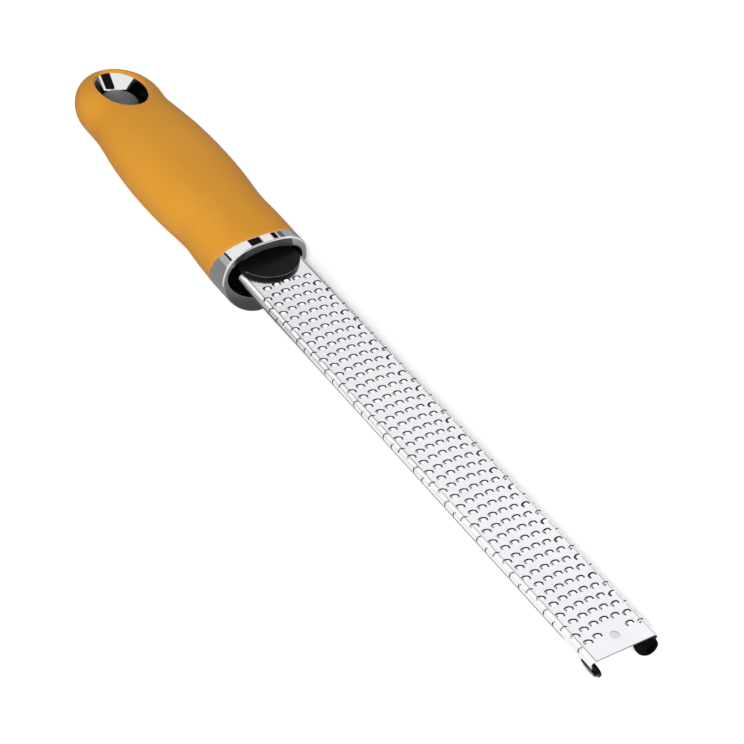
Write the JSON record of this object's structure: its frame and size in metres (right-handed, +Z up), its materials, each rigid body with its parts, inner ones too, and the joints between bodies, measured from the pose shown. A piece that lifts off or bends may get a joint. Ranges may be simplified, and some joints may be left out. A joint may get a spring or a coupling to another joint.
{
  "type": "citrus zester",
  "caption": "Long narrow hand zester: an etched steel blade with bent edges and black tip feet, a bright collar and a soft amber grip with a lined hanging hole",
  "frame": {"origin": "Bottom centre of the tool: the middle of its length and width, at the height of the collar's lowest point", "axes": "+X along the tool towards the blade's tip, +Y to the left seen from the grip, +Z up, square to the blade's face"},
  "size_m": [0.324, 0.0392, 0.0318],
  "materials": {
    "grip": "matt soft-touch amber rubber",
    "core": "black moulded plastic, fine satin",
    "bright_trim": "mirror-bright plating, satin on the collar's front face",
    "blade_steel": "bright stainless sheet with etched slots",
    "foot_black": "glossy black plastic"
  },
  "bodies": {
    "root": {"handle_grip": "grip", "handle_core": "core", "collar": "bright_trim", "hanging_eyelet": "bright_trim", "blade": "blade_steel", "foot_left": "foot_black", "foot_right": "foot_black"}
  },
  "joints": []
}
